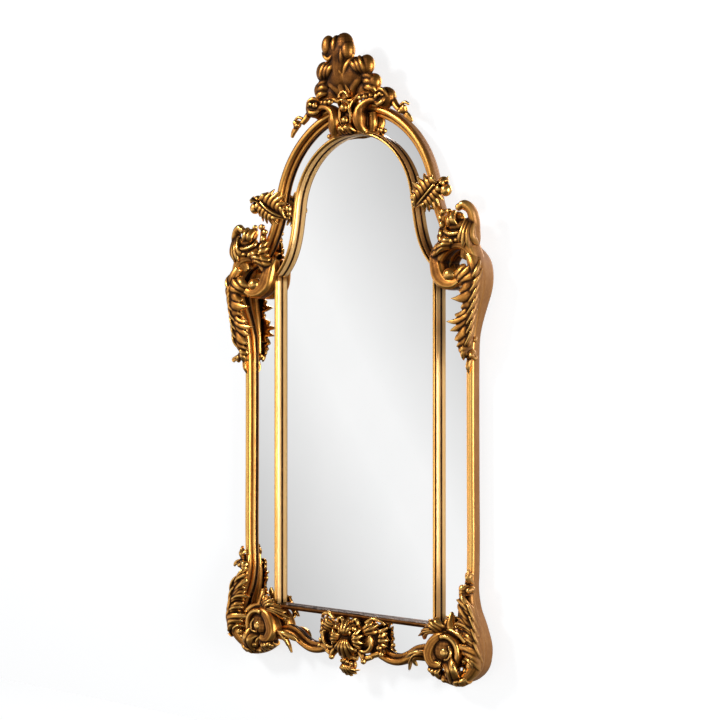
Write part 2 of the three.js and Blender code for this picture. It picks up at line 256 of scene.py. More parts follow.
def speckled(name, low, high, scale, roughness, metallic=0.0, bump=0.1):
    """A plain finish whose colour drifts between two shades."""
    material = bpy.data.materials.new(name)
    tree, shader = nodes_of(material)
    grain = noise(tree, scale, detail=6.0)
    height = add_node(tree, "ShaderNodeBump", {"Height": grain, "Strength": bump, "Distance": 0.0005})
    feed(tree, shader, {
        "Base Color": ramp(tree, grain, [(0.3, low), (0.7, high)]),
        "Roughness": ramp(tree, grain, [(0.3, roughness * 1.15), (0.7, roughness * 0.85)]),
        "Metallic": metallic, "Normal": height.outputs[0]})
    return material


MOULDING = gilt("gilt_bars", streaks=(1.0, 1.0, 0.25))
CARVING = gilt("gilt_carved")
SILVER = speckled("silvered_glass", (0.90, 0.905, 0.905), (0.93, 0.93, 0.93), 3.0, 0.012, 1.0, bump=0.0)
FIBRE = speckled("back_fibreboard", (0.20, 0.12, 0.06), (0.34, 0.22, 0.12), 180.0, 0.85)
STEEL = speckled("zinc_plate", (0.42, 0.42, 0.40), (0.62, 0.62, 0.60), 90.0, 0.36, 1.0)
RUBBER = speckled("black_rubber", (0.018, 0.018, 0.018), (0.035, 0.035, 0.035), 240.0, 0.8)


def dress(obj, material):
    obj.data.materials.clear()
    obj.data.materials.append(material)


def finish_piece(obj, node, material):
    dress(obj, material)
    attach(obj, "frame")
    if node in nodes:
        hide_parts(node)


# ---- mouldings
# Paths are (x, z) for the right-hand side. The outside of the frame is on their left as they run.
SIGHT = np.concatenate([
    arc(0, ARCH_Z, 223, 90, 8, 40),
    flare((221.5, 500), (232, 430), (238, 350), (SIGHT_HALF, SHOULDER_Z), 26)])
OUTER_ARCH = np.concatenate([
    arc(0, ARCH_Z, 300, 90, 10, 44),
    flare((295.4, 526.6), (304, 478), (322, 420), (368, 362), 24)])
OUTER_STILE = [
    (398, 351), (443, 330), (468, 302), (475, 266), (471, 232), (460, 200), (445, 160), (431, 110),
    (427, 60), (426.5, 15), (426.5, -265), (426.5, -545), (425, -595), (434, -648), (456, -700),
    (471, -756), (461, -800), (430, -828), (385, -842)]
BOTTOM_RAIL = [(300, -786), (265, -779), (235, -786), (205, -804), (172, -817), (140, -817), (105, -806)]

# Sections run from the mirror's side to the outside. Each row is across, y and tone, and then matt and pale
# where they aren't 0. The dark rows next to SEAT are painted shadow in the seam at the glass, and the dark
# rows at the foot of the outer section's bead are painted shadow too.
INNER_SECTION = [
    (0, SEAT, 0.05), (0, -29, 0), (0, -30, 0.8, 0, 0.9), (0.2, -44.8, 0.86, 0, 0.9), (0.9, -46, 0.1),
    (1.4, -47.2, 0.2), (1.9, -49.6, 0.75), (3.6, -51.5, 0.95), (5.8, -52, 1), (7.8, -51.4, 0.92),
    (9.2, -50.2, 0.5), (9.5, -48.6, 0), (9.7, -45.6, 0), (11.3, -45.4, 0), (11.7, -46.2, 0.6, 0, 0.3),
    (12.8, -46, 0.8, 0, 0.7), (INNER_W, -44.8, 0.84, 0, 0.9), (INNER_W, -30, 0.84, 0, 0.9),
    (INNER_W, -29, 0), (INNER_W, SEAT, 0.05)]
OUTER_SECTION = [
    (-16.5, SEAT, 0.02), (-16.5, -29.2, 0), (-16.5, -30.4, 0.55, 0, 0.6), (-15.6, -34.2, 0.8),
    (-13.5, -35.4, 0.9), (-9, -35.6, 0.72), (-6.2, -35.6, 0.1), (-5.4, -36.6, 0.05), (-4.6, -41, 0.6),
    (-2.4, -45.4, 0.9), (1.5, -47.6, 1), (5.5, -48, 1), (10, -47.2, 0.92), (14.2, -44.6, 0.7, 0, 0.3),
    (16.2, -40.8, 0.5, 0.7), (16.5, -36, 0.5, 1), (16.5, -24, 0.5, 1), (16.5, FRAME_BACK, 0.3, 1),
    (9.2, FRAME_BACK, 0.1, 1), (8.6, SEAT, 0.05, 1)]
# The bottom rail's top is dark with painted shade, with one pale painted highlight line along it.
RAIL_SECTION = [
    (0, SEAT, 0.02), (0, -30, 0.06), (0, -37, 0.08), (-0.6, -38.5, 0.16, 0, 0.2), (-0.6, -41, 0.16, 0, 0.2),
    (0, -42.5, 0.06), (0.4, -47, 0.06), (1.2, -49.6, 0.14), (3, -51.5, 0.24), (6, -52, 0.26),
    (8.2, -50.8, 0.2), (9.2, -48.4, 0.02), (10.2, -47.6, 0.16), (12.6, -47, 0.3), (14, -44.6, 0.22),
    (14, -30, 0.16), (14, SEAT, 0.02)]
RAIL_HALF = 315.2        # half of the bottom rail's length, to the outer edges of the stiles
BAR_ROWS = 60            # rings along a straight bar
CAP_TONE = 0.2           # tone at the middle of a bar's two ends
UP_SHADE = 0.65              # painted shade: how much of its tone a face that looks straight up loses


def sweep(path, section, lift=None):
    """A moulding along an XZ path. lift(t) gives how far the front rises at t, from 0 to 1."""
    across = lefts(path)
    spans = np.linspace(0, 1, len(path))
    rings = np.zeros((len(path), len(section), 3))
    depth = section[:, 1]
    share = np.clip((SEAT - depth) / (SEAT - depth.min()), 0, 1)
    for i, (point, normal) in enumerate(zip(path, across)):
        rings[i, :, 0] = point[0] + normal[0] * section[:, 0]
        rings[i, :, 2] = point[1] + normal[1] * section[:, 0]
        rings[i, :, 1] = depth - share * (lift(spans[i]) if lift else 0.0)
    return rings


def moulding(name, path, section, side, lift=None, worn=1.0):
    """One swept bar. side 0 is for the bar that crosses the middle; worn below 1 darkens the gilding all
    along the bar.
    """
    section = np.array([row + (0.0,) * (5 - len(row)) for row in section])
    rings = sweep(path, section, lift)
    if side:
        rings[:, :, 0] = np.maximum(rings[:, :, 0], MIDDLE_GAP) * side
    verts, faces = outward(*tube(rings))
    obj = new_object(f"{name}_{WORDS[side]}" if side else name, verts, faces)
    # painted shade on faces that look up
    up_shading = 1 - UP_SHADE * np.clip(vertex_rows(obj.data, "normal")[:, 2], 0, 1)
    for column, label in enumerate(("tone", "matt", "pale"), start=2):
        values = np.tile(section[:, column], len(path))
        fade, shade = (1.0, 1.0) if label == "matt" else (worn, up_shading)
        paint(obj, label, np.append(values * fade, [CAP_TONE] * 2) * shade)
    finish_piece(obj, obj.name.replace("gilt_", ""), MOULDING)


def bulge(t):
    """How far the outer stile swells forward in its two scrolls."""
    top = 32.0 * math.exp(-(((t - 0.085) / 0.075) ** 2))
    foot = 16.0 * math.exp(-(((t - 0.895) / 0.07) ** 2))
    return top + foot


def densify(points, step):
    """A smooth XZ path through the points."""
    rows = [(x, 0.0, z) for x, z in points]
    return smooth_curve(rows, step)[:, (0, 2)]


def make_mouldings():
    # the stiles' path runs up, with the outside on its right, so their section is turned round
    turned = [(-row[0], *row[1:]) for row in INNER_SECTION][::-1]
    stile = np.array([(SIGHT_HALF, z) for z in np.linspace(RAIL_TOP + 0.3, SHOULDER_Z - 1, BAR_ROWS)])
    rail = np.array([(x, RAIL_TOP) for x in np.linspace(RAIL_HALF, -RAIL_HALF, BAR_ROWS)])
    for side in (1, -1):
        moulding("gilt_inner_arch", SIGHT, INNER_SECTION, side)
        moulding("gilt_inner_stile", stile, turned, side)
        # worn below 1: painted shade on the outer arch; the bottom rails are painted darker too
        moulding("gilt_outer_arch", OUTER_ARCH, OUTER_SECTION, side, worn=0.78)
        moulding("gilt_outer_stile", densify(OUTER_STILE, 6.0), OUTER_SECTION, side, bulge)
        moulding("gilt_bottom_rail", densify(BOTTOM_RAIL, 4.0), OUTER_SECTION, side, worn=0.66)
    moulding("gilt_inner_bottom_rail", rail, RAIL_SECTION, 0)


# ---- carving kit
# Carved rows are (x, z, d, w, h) in millimetres: x and z in the mirror's plane, d forward from the wall,
# w half the width in the plane, h half the thickness across it.
STROKE_SIDES = 16
STROKE_STEP = 2.5
THINNEST = 0.3           # least half width or half thickness of a stroke
BEAD_RINGS, BEAD_SIDES = 11, 18
BEAD_POLE = 1.45         # radians; a fan of faces closes a bead beyond it
COIL_TURN = 14           # degrees between the rows of a coil
FINGER_COLUMNS = 8       # columns of points across each finger of a leaf
LEAF_ROWS = 18           # rows of points along a leaf
HOLLOWS = (8, 80)        # smoothing passes at the fine voxel that show fine and broad hollows
BROAD_SHADE = 0.12       # tone lost for each millimetre of a broad hollow
TOP_SHADE = 0.16          # painted shade: tone lost on a face that looks up
FLANK_X, FLANK_FADE = 425, 30        # the frame's matt flanks start here and fade in over this


def turn(count):
    """Angles round a full turn."""
    return np.linspace(0, 2 * np.pi, count, endpoint=False)


def unit(v):
    return v / np.linalg.norm(v, axis=-1, keepdims=True)


def stroke(rows, bow=2.0, groove=0.0):
    """A rounded bar along the rows. bow squares its section, and groove hollows its front."""
    rows = [(x, -d, z, w, h) for x, z, d, w, h in rows]
    line = smooth_curve(rows, STROKE_STEP)
    points, (widths, depths) = line[:, :3], np.maximum(line[:, 3:].T, THINNEST)
    along = unit(np.gradient(points, axis=0))
    up = FRONT - FRONT @ along[0] * along[0]
    if np.linalg.norm(up) < 0.05:
        up = np.array([0.0, 0.0, 1.0]) - along[0, 2] * along[0]
    up = unit(up)
    angle = turn(STROKE_SIDES)
    u = np.sign(np.cos(angle)) * np.abs(np.cos(angle)) ** (2 / bow)
    v = np.sign(np.sin(angle)) * np.abs(np.sin(angle)) ** (2 / bow)
    v = v - groove * np.exp(-((u / 0.34) ** 2)) * (v > 0)
    rings = np.zeros((len(points), STROKE_SIDES, 3))
    for i, tangent in enumerate(along):
        up = unit(up - up @ tangent * tangent)
        across = np.cross(tangent, up)
        rings[i] = points[i] + np.outer(u * widths[i], across) + np.outer(v * depths[i], up)
    return tube(rings)


def knob(x, z, d, rx, rd=None, rz=None):
    """A rounded bead, which a carving takes in as part of its skin."""
    rd, rz = rd or rx, rz or rx
    lats = np.linspace(-BEAD_POLE, BEAD_POLE, BEAD_RINGS)
    angle = turn(BEAD_SIDES)
    rings = np.zeros((len(lats), len(angle), 3))
    for i, lat in enumerate(lats):
        rings[i, :, 0] = x + rx * math.cos(lat) * np.cos(angle)
        rings[i, :, 1] = -d - rd * math.cos(lat) * np.sin(angle)
        rings[i, :, 2] = z - rz * math.sin(lat)
    return tube(rings)


def coil(cx, cz, r0, r1, start, end, d0, d1, w0, w1, h0, h1):
    """A scroll band that winds from radius r0 at start to r1 at end, in degrees, as d, w and h change."""
    rows = []
    for t in np.linspace(0, 1, max(int(abs(end - start) / COIL_TURN), 5)):
        angle = math.radians(start + (end - start) * t)
        radius = r0 + (r1 - r0) * t
        rows.append((cx + radius * math.cos(angle), cz + radius * math.sin(angle), d0 + (d1 - d0) * t,
                     w0 + (w1 - w0) * t, h0 + (h1 - h0) * t))
    return stroke(rows, bow=2.6)


def hollows_of(mesh, passes):
    """How far each vertex lies below the surface after that many smoothing passes, in millimetres."""
    count = len(mesh.vertices)
    place, normal = vertex_rows(mesh, "co") / MM, vertex_rows(mesh, "normal")
    ends = np.empty(len(mesh.edges) * 2, int)
    mesh.edges.foreach_get("vertices", ends)
    a, b = ends[0::2], ends[1::2]
    degree = np.maximum(np.bincount(ends, minlength=count), 1)
    moved = place.copy()
    results = []
    for step in range(max(passes)):
        total = np.empty_like(moved)
        for axis in range(3):
            column = moved[:, axis]
            total[:, axis] = (np.bincount(a, weights=column[b], minlength=count)
                              + np.bincount(b, weights=column[a], minlength=count))
        moved = total / degree[:, None]
        if step + 1 in passes:
            results.append(np.einsum("ij,ij->i", moved - place, normal))
    return results


def carve(node, pieces, side, soften, worn, gain):
    """Joins the strokes into one closed carved skin, smooths it and paints shade into its hollows and onto
    faces that look up. worn is the tone of an even face, and gain how fast it falls as the face sinks."""
    verts, faces = merged(pieces)
    verts[:, 1] = np.minimum(verts[:, 1], CARVING_BACK)
    obj = new_object("carved_" + node, verts, faces)
    skin = obj.modifiers.new("skin", "REMESH")
    skin.mode = "VOXEL"
    skin.voxel_size = VOXEL * MM
    blur = obj.modifiers.new("blur", "SMOOTH")
    blur.factor = 0.5
    blur.iterations = soften
    bpy.context.view_layer.update()
    mesh = bpy.data.meshes.new_from_object(obj.evaluated_get(bpy.context.evaluated_depsgraph_get()))
    obj.modifiers.clear()
    obj.data = mesh
    scale = (FINE_VOXEL / VOXEL) ** 2
    fine, broad = hollows_of(mesh, [max(int(count * scale), 2) for count in HOLLOWS])
    if side < 0:
        mesh.vertices.foreach_set("co", (vertex_rows(mesh, "co") * (-1, 1, 1)).ravel())
        mesh.flip_normals()
    mesh.shade_smooth()
    place, normal = vertex_rows(mesh, "co"), vertex_rows(mesh, "normal")
    upward = np.clip(normal[:, 2], 0, 1)
    # tone: fine hollows darker with patina and painted shade, broad hollows and faces that look up darker
    # with painted shade, ridges rubbed bright
    paint(obj, "tone", np.clip(worn - gain * fine - BROAD_SHADE * broad - TOP_SHADE * upward, 0, 1))
    # the frame's outer flanks are matt, on their sides but not on faces that look up or down
    outer = np.clip((np.abs(place[:, 0]) / MM - FLANK_X) / FLANK_FADE, 0, 1)
    sideways = np.clip((normal[:, 0] * side - 0.30) * 2.5, 0, 1)
    level = np.clip(1.6 - np.abs(normal[:, 2]) * 1.4, 0, 1)
    paint(obj, "matt", 0.85 * outer * sideways * level)
    paint(obj, "pale", np.zeros(len(mesh.vertices)))
    finish_piece(obj, node, CARVING)


def sheet(top, bottom):
    """A closed slab between two grids of points."""
    rows, columns = top.shape[:2]
    count = rows * columns
    cell = np.arange(count).reshape(rows, columns)
    corners = (cell[:-1, :-1], cell[:-1, 1:], cell[1:, 1:], cell[1:, :-1])
    upper = np.stack([corner.ravel() for corner in corners], axis=1)
    border = np.concatenate([cell[0, :-1], cell[:-1, -1], cell[-1, :0:-1], cell[:0:-1, 0]])
    after = np.roll(border, -1)
    walls = np.stack([after, border, border + count, after + count], axis=1)
    faces = np.concatenate([upper, upper[:, ::-1] + count, walls]).tolist()
    return np.concatenate([top.reshape(-1, 3), bottom.reshape(-1, 3)]), faces


def between(points, u):
    """Points along a row of points, for u from 0 to 1 and a little beyond."""
    points = np.array(points, float)
    last = len(points) - 1
    i = np.clip(np.floor(u * last).astype(int), 0, last - 1)
    return points[i] + (u * last - i)[:, None] * (points[i + 1] - points[i])


def fan(start, elbow, tips, flute=2.4, thick=6.0, lift=4.0, notch=0.2, sharp=0.6, dome=5.0):
    """A fluted leaf whose end is cut into fingers, one at each tip. Points are (x, z, d). start and elbow
    run across the leaf from the first finger to the last, flute is the height of each finger's ridge, lift
    and dome arch the leaf along and across, notch and sharp shape the cuts between the fingers, and thick
    is how thick the root is."""
    count = len(tips)
    across = np.linspace(0, count, count * FINGER_COLUMNS + 1)
    u = (across - 0.5) / (count - 1)
    share = across % 1.0
    ridge = np.sin(np.pi * share) ** 0.7
    finger = (1 - np.abs(2 * share - 1)) ** sharp
    s, e, end = between(start, u), between(elbow, u), between(tips, u)
    control = 2 * e - 0.5 * (s + end)
    t = (np.linspace(0, 1, LEAF_ROWS)[:, None] * (1 - notch * (1 - finger)))[:, :, None]
    place = (1 - t) ** 2 * s + 2 * t * (1 - t) * control + t ** 2 * end
    t = t[:, :, 0]
    swell = dome * np.sin(np.pi * across / count) * np.minimum(2.0 * t, 1.0)
    rise = lift * 4 * t * (1 - t) + swell + flute * ridge * (0.1 + 0.9 * np.minimum(1.6 * t, 1.0))
    x, z, d = place[:, :, 0], place[:, :, 1], place[:, :, 2]
    top = np.stack([x, -(d + rise), z], axis=2)
    bottom = np.stack([x, -(d - thick * (1 - 0.5 * t)), z], axis=2)
    return [sheet(top, bottom)]


# ---- carvings, drawn for the right-hand side
# Each is given the side that it is for, because a few differ on the left.
def side_acanthus(side):
    pieces = [stroke([(446, 326, 64, 14, 16), (461, 304, 66, 19, 20), (470, 266, 67, 21, 21),
                      (467, 230, 65, 20, 20), (457, 198, 60, 18, 17), (444, 158, 54, 16, 13),
                      (434, 110, 50, 15, 9), (429, 60, 48, 12, 6)], bow=2.3)]
    pieces += fan([(482, 252, 82), (478, 222, 80)], [(446, 236, 82), (456, 184, 78)],
                  [(420, 229, 72), (390, 206, 75), (424, 176, 72)], flute=2.8, notch=0.3, sharp=0.7)
    pieces += fan([(474, 206, 78), (466, 168, 74)], [(438, 168, 78), (442, 122, 72)],
                  [(404, 164, 74), (374, 143, 75), (386, 116, 73), (408, 98, 69)], flute=2.8, notch=0.26,
                  sharp=0.7)
    pieces += fan([(464, 150, 70), (458, 120, 66)], [(436, 112, 74), (444, 86, 69)],
                  [(400, 92, 71), (404, 74, 68)], flute=2.8, lift=6)
    pieces += fan([(388, 256, 60), (404, 240, 62)], [(414, 274, 78), (438, 250, 80)],
                  [(436, 300, 74), (458, 292, 79), (480, 270, 82)], flute=3, notch=0.1)
    pieces += fan([(452, 72, 64), (446, 58, 62)], [(430, 70, 70), (428, 50, 68)],
                  [(408, 61, 62), (418, 42, 58)], flute=2.6, lift=5)
    pieces += [
        knob(440, 54, 58, 21, 13, 15), knob(434, 54, 68, 9, 6, 8), knob(452, 49, 66, 9, 6, 8),
        knob(458, 41, 58, 8, 7, 8), knob(462, 92, 62, 7, 6, 9),
        stroke([(466, 258, 84, 4, 5), (480, 272, 86, 7, 6), (487, 292, 80, 6, 5), (484, 306, 70, 3, 4)]),
        stroke([(468, 238, 84, 4, 4), (480, 250, 84, 6, 6), (488, 264, 78, 5, 5)]),
        stroke([(436, 38, 54, 8, 7), (432, 16, 56, 7, 6), (430, 0, 49, 3, 3)], groove=0.4),
    ]
    for k in range(6):
        x, z, inward = 492 - 4.5 * k, 284 - 27 * k, 1 - 0.06 * k
        pieces.append(stroke([(x, z, 70, 2, 3), (x - 5, z - 26, 82 - k, 4.5, 5),
                              (x - 22 * inward, z - 54, 86 - k, 4.5, 5),
                              (x - 46 * inward, z - 72, 81 - k, 3.5, 4),
                              (x - 66 * inward, z - 80, 74, 2, 3)]))
    if side < 0:
        pieces.append(stroke([(440, 62, 52, 6, 5), (456, 52, 56, 9, 5), (470, 46, 58, 9, 5),
                              (482, 42, 58, 6, 5), (474, 36, 60, 4, 3)], groove=0.3))
        pieces += fan([(456, 280, 80), (450, 200, 72)], [(474, 258, 86), (466, 182, 78)],
                      [(493, 254, 74), (490, 236, 73), (486, 216, 72), (487, 194, 70), (480, 176, 68),
                       (472, 156, 66)], flute=1.2, notch=0.24)
        pieces += fan([(450, 186, 70), (442, 116, 58)], [(462, 158, 72), (452, 102, 62)],
                      [(476, 146, 64), (470, 130, 62), (464, 112, 58), (458, 92, 56)], flute=1.2,
                      notch=0.24)
    return pieces


def shoulder_scroll(side):
    pieces = [
        stroke([(312, 350, 44, 11, 12), (320, 328, 48, 19, 20), (328, 300, 50, 24, 24),
                (341, 268, 52, 25, 25), (366, 249, 54, 19, 25), (394, 246, 56, 14, 23),
                (422, 262, 60, 12, 20), (444, 290, 66, 9, 14)], bow=3.4),
        stroke([(338, 292, 46, 8, 20), (340, 316, 48, 13, 24), (360, 344, 50, 17, 24),
                (400, 360, 52, 20, 24), (440, 350, 56, 20, 24), (464, 316, 56, 14, 20),
                (474, 286, 52, 9, 14), (476, 258, 48, 4, 6)], bow=3),
        stroke([(362, 264, 48, 15, 18), (382, 272, 56, 15, 14)]),
    ]
    pieces += fan([(404, 366, 66), (392, 346, 66)], [(376, 368, 78), (360, 342, 76)],
                  [(352, 374, 68), (334, 352, 68), (326, 328, 64)], flute=3.2)
    pieces += fan([(372, 352, 62), (362, 338, 60)], [(344, 352, 72), (336, 332, 68)],
                  [(316, 350, 56), (302, 330, 52)], flute=3)
    return pieces


def shoulder_boss(side):
    return [knob(380, 272, 66, 24, 20, 20), stroke([(378, 272, 48, 16, 10), (379, 272, 58, 16, 10)])]


def shoulder_curl(side):
    rise = 0 if side > 0 else -14        # the left curl is lower
    pieces = [
        stroke([(420, 318, 52, 14, 14), (436, 340, 58, 24, 18), (450, 364, 60, 24, 18),
                (457, 394, 62, 18, 16), (460, 422, 66, 15, 15), (456, 442 + rise, 70, 14, 14),
                (446, 455 + rise, 74, 14, 13), (432, 460 + rise, 77, 14, 12), (421, 455 + rise, 80, 9, 9)],
               bow=2.4),
        knob(419, 455 + rise, 80, 11, 9, 11),
        stroke([(382, 446, 60, 6, 8), (382, 428, 66, 13, 13), (394, 412, 70, 18, 15),
                (416, 406, 70, 16, 14), (438, 412, 68, 10, 10), (452, 424, 66, 6, 7)]),
        knob(402, 424, 62, 24, 16, 22),
        stroke([(346, 358, 54, 15, 13), (374, 374, 62, 24, 17), (406, 376, 66, 26, 18),
                (438, 366, 64, 22, 16)]),
        stroke([(372, 408, 66, 5, 6), (370, 396, 74, 7, 7), (386, 385, 82, 6, 7), (410, 382, 84, 6, 7),
                (430, 388, 80, 7, 6), (440, 402, 72, 5, 5)]),
        knob(414, 366, 80, 12, 7, 7), knob(392, 364, 76, 10, 7, 8),
        stroke([(358, 380, 58, 14, 10), (352, 408, 58, 12, 9), (350, 436, 58, 11, 8)]),
        knob(352, 448, 64, 13, 8, 9), knob(342, 432, 60, 11, 8, 9), knob(376, 448, 68, 9, 8, 8),
        knob(348, 412, 64, 9, 7, 11),
    ]
    pieces += fan([(442, 424, 78), (468, 424, 70)], [(432, 384, 86), (468, 378, 80)],
                  [(416, 358, 76), (434, 342, 76), (454, 336, 72), (472, 350, 62)], flute=2.8, notch=0.32)
    pieces += fan([(412, 402, 80), (392, 402, 80)], [(402, 424, 84), (384, 420, 80)],
                  [(400, 450, 72), (378, 446, 68)], flute=3.4)
    pieces += fan([(368, 392, 58), (372, 352, 58)], [(350, 388, 66), (354, 352, 66)],
                  [(332, 404, 52), (328, 384, 54), (326, 362, 54)], flute=3)
    return pieces


def arch_leaf(side):
    flat = dict(flute=3.0, notch=0.36, sharp=0.7, lift=1.0, dome=1.0)
    pieces = [stroke([(240, 468, 56, 4, 4), (264, 474, 66, 4, 5), (290, 486, 78, 4.5, 6),
                      (316, 504, 84, 4.5, 6), (338, 523, 84, 4, 5)]),
              stroke([(256, 484, 60, 12, 6), (290, 500, 67, 22, 8), (322, 514, 70, 22, 8),
                      (350, 520, 70, 14, 8)])]
    pieces += fan([(258, 472, 68), (338, 524, 84)], [(258, 498, 76), (324, 542, 86)],
                  [(238, 490, 58), (242, 514, 64), (244, 541, 68), (264, 553, 70), (290, 560, 70),
                   (318, 553, 68)], **flat)
    pieces += fan([(264, 470, 68), (342, 520, 84)], [(292, 470, 78), (354, 506, 86)],
                  [(284, 450, 58), (304, 450, 64), (324, 454, 66), (342, 463, 66), (356, 478, 66),
                   (366, 494, 66)], **flat)
    pieces += [knob(370, 506, 74, 18, 15, 18), knob(360, 530, 72, 17, 13, 15),
               knob(243, 497, 60, 11, 9, 12), knob(243, 482, 58, 8, 7, 8)]
    pieces += fan([(346, 520, 76), (360, 536, 74)], [(362, 526, 88), (372, 534, 82)],
                  [(374, 520, 88), (384, 530, 78), (378, 544, 70)], flute=2.0)
    return pieces


def corner_scroll(side):
    pieces = [
        coil(364, -768, 42, 42, -84, 112, 52, 54, 11, 10, 24, 24),
        stroke([(376, -728, 56, 10, 14), (342, -730, 56, 15, 18), (315, -754, 56, 20, 22),
                (307, -786, 57, 21, 23), (322, -806, 58, 18, 22), (350, -806, 58, 10, 20)], bow=2.9),
        knob(356, -767, 60, 42, 17, 37),
        stroke([(378, -752, 70, 3, 5), (386, -768, 72, 4, 7), (380, -786, 74, 4, 7),
                (364, -790, 74, 3, 5)]),
        stroke([(350, -802, 60, 6, 9), (366, -816, 66, 7, 10), (370, -838, 62, 7, 9)]),
        stroke([(352, -708, 44, 9, 15), (382, -714, 46, 9, 16), (408, -722, 48, 9, 16),
                (428, -738, 50, 9, 14)], bow=3),
        stroke([(300, -818, 50, 10, 16), (330, -834, 52, 13, 17), (366, -846, 52, 13, 17),
                (404, -850, 52, 12, 16), (436, -838, 54, 11, 14)]),
        knob(312, -814, 68, 9, 8, 7), knob(326, -824, 68, 10, 8, 8), knob(340, -836, 64, 9, 8, 8),
        knob(322, -836, 60, 8, 7, 7), knob(376, -829, 72, 11, 9, 10), knob(354, -847, 62, 9),
        knob(446, -798, 66, 13, 10, 12), knob(432, -812, 68, 8, 7, 7), knob(418, -790, 54, 9),
        knob(410, -826, 56, 10),
        stroke([(428, -780, 58, 5, 9), (444, -778, 70, 6, 10), (460, -788, 74, 6, 9),
                (462, -806, 66, 5, 8)]),
    ]
    pieces += fan([(374, -780, 70), (360, -794, 68)], [(402, -808, 82), (384, -816, 80)],
                  [(402, -850, 62), (380, -854, 62)], flute=3.4, notch=0.15)
    pieces += fan([(404, -828, 62), (430, -826, 60)], [(402, -846, 68), (424, -842, 66)],
                  [(396, -862, 56), (416, -860, 56)], flute=3, notch=0.15)
    pieces += fan([(318, -806, 62), (344, -812, 62)], [(312, -822, 72), (338, -828, 72)],
                  [(304, -832, 58), (318, -842, 60), (336, -850, 58)], flute=3, notch=0.2)
    return pieces


def corner_boss(side):
    return [knob(361, -771, 70, 16, 10, 15), stroke([(362, -769, 50, 20, 12), (362, -769.5, 62, 18, 12)])]


def corner_acanthus(side):
    pieces = [stroke([(430, -560, 48, 12, 6), (432, -600, 52, 15, 10), (441, -650, 56, 19, 14),
                      (457, -700, 60, 21, 17), (468, -752, 62, 22, 18), (460, -798, 60, 21, 17),
                      (434, -826, 57, 17, 14), (396, -842, 54, 12, 11)], bow=2.4)]
    pieces += fan([(462, -646, 68), (470, -672, 72)], [(438, -620, 76), (446, -652, 76)],
                  [(412, -602, 66), (404, -620, 68), (414, -638, 67)], flute=2.5)
    pieces += fan([(472, -680, 74), (480, -702, 76)], [(434, -652, 76), (446, -680, 77)],
                  [(406, -640, 66), (414, -662, 67)], flute=2.2)
    pieces += fan([(478, -704, 76), (484, -730, 78)], [(438, -676, 78), (452, -702, 78)],
                  [(414, -669, 68), (394, -688, 65), (422, -703, 66)], flute=2.4)
    pieces += fan([(486, -734, 77), (490, -756, 77)], [(454, -714, 79), (462, -738, 79)],
                  [(424, -708, 64), (426, -724, 64), (438, -738, 65)], flute=2.2)
    pieces += fan([(490, -768, 76), (486, -800, 74)], [(460, -750, 82), (468, -784, 79)],
                  [(396, -752, 60), (424, -768, 66), (448, -782, 70)], flute=2.5)
    pieces += [knob(437, -590, 58, 21, 13, 12), knob(425, -596, 68, 9, 7, 8), knob(443, -593, 68, 9, 7, 8)]
    pieces += fan([(434, -580, 58), (448, -576, 56)], [(434, -560, 63), (446, -558, 61)],
                  [(426, -546, 54), (438, -532, 57), (450, -548, 53)], flute=2.6)
    pieces += fan([(448, -588, 62), (444, -600, 64)], [(424, -586, 68), (422, -602, 68)],
                  [(408, -590, 60), (410, -604, 60)], flute=2.6)
    for k in range(4):
        x, z = 490 - 5 * k, -784 + 30 * k
        pieces.append(stroke([(x, z, 66, 2, 3), (x - 4, z + 26, 80, 4.5, 5), (x - 14, z + 50, 83, 4.5, 5),
                              (x - 28, z + 66, 78, 3.5, 4), (x - 40, z + 72, 68, 2, 3)]))
    if side < 0:
        pieces.append(stroke([(440, -582, 52, 7, 5), (456, -584, 56, 8, 5), (470, -590, 58, 7, 5),
                              (477, -600, 58, 4, 3)], groove=0.3))
        pieces += fan([(446, -630, 70), (464, -780, 76)], [(464, -656, 78), (480, -796, 80)],
                      [(472, -676, 68), (480, -692, 70), (486, -710, 72), (491, -730, 73), (493, -750, 74),
                       (491, -772, 72), (486, -794, 69), (474, -816, 66)], flute=1.2, notch=0.22)
    return pieces


def corner_leaf(side):
    pieces = [stroke([(368, -722, 54, 9, 7), (334, -712, 58, 9, 7), (300, -716, 58, 7, 6),
                      (266, -730, 44, 4, 4)])]
    pieces += fan([(352, -726, 62), (348, -706, 60)], [(302, -724, 64), (304, -704, 62)],
                  [(270, -748, 44), (247, -741, 40), (262, -722, 44), (280, -708, 50)], flute=3.4)
    pieces += fan([(344, -724, 62), (356, -706, 60)], [(318, -704, 70), (336, -690, 64)],
                  [(296, -700, 60), (302, -684, 60), (322, -678, 56)], flute=3.4)
    pieces += fan([(376, -724, 50), (350, -724, 52)], [(370, -700, 50), (350, -702, 52)],
                  [(364, -660, 40), (348, -680, 42)], flute=2.8)
    return pieces


def rail_leaf(side):
    tip = (222, -842) if side > 0 else (234, -844)
    pieces = fan([(300, -784, 58), (296, -802, 56)], [(256, -780, 68), (256, -800, 66)],
                 [(206, -806, 50), (*tip, 50), (252, -824, 52)], flute=3.2, notch=0.45)
    pieces.append(stroke([(300, -792, 56, 9, 7), (270, -786, 60, 8, 6), (246, -796, 60, 7, 6)]))
    return pieces


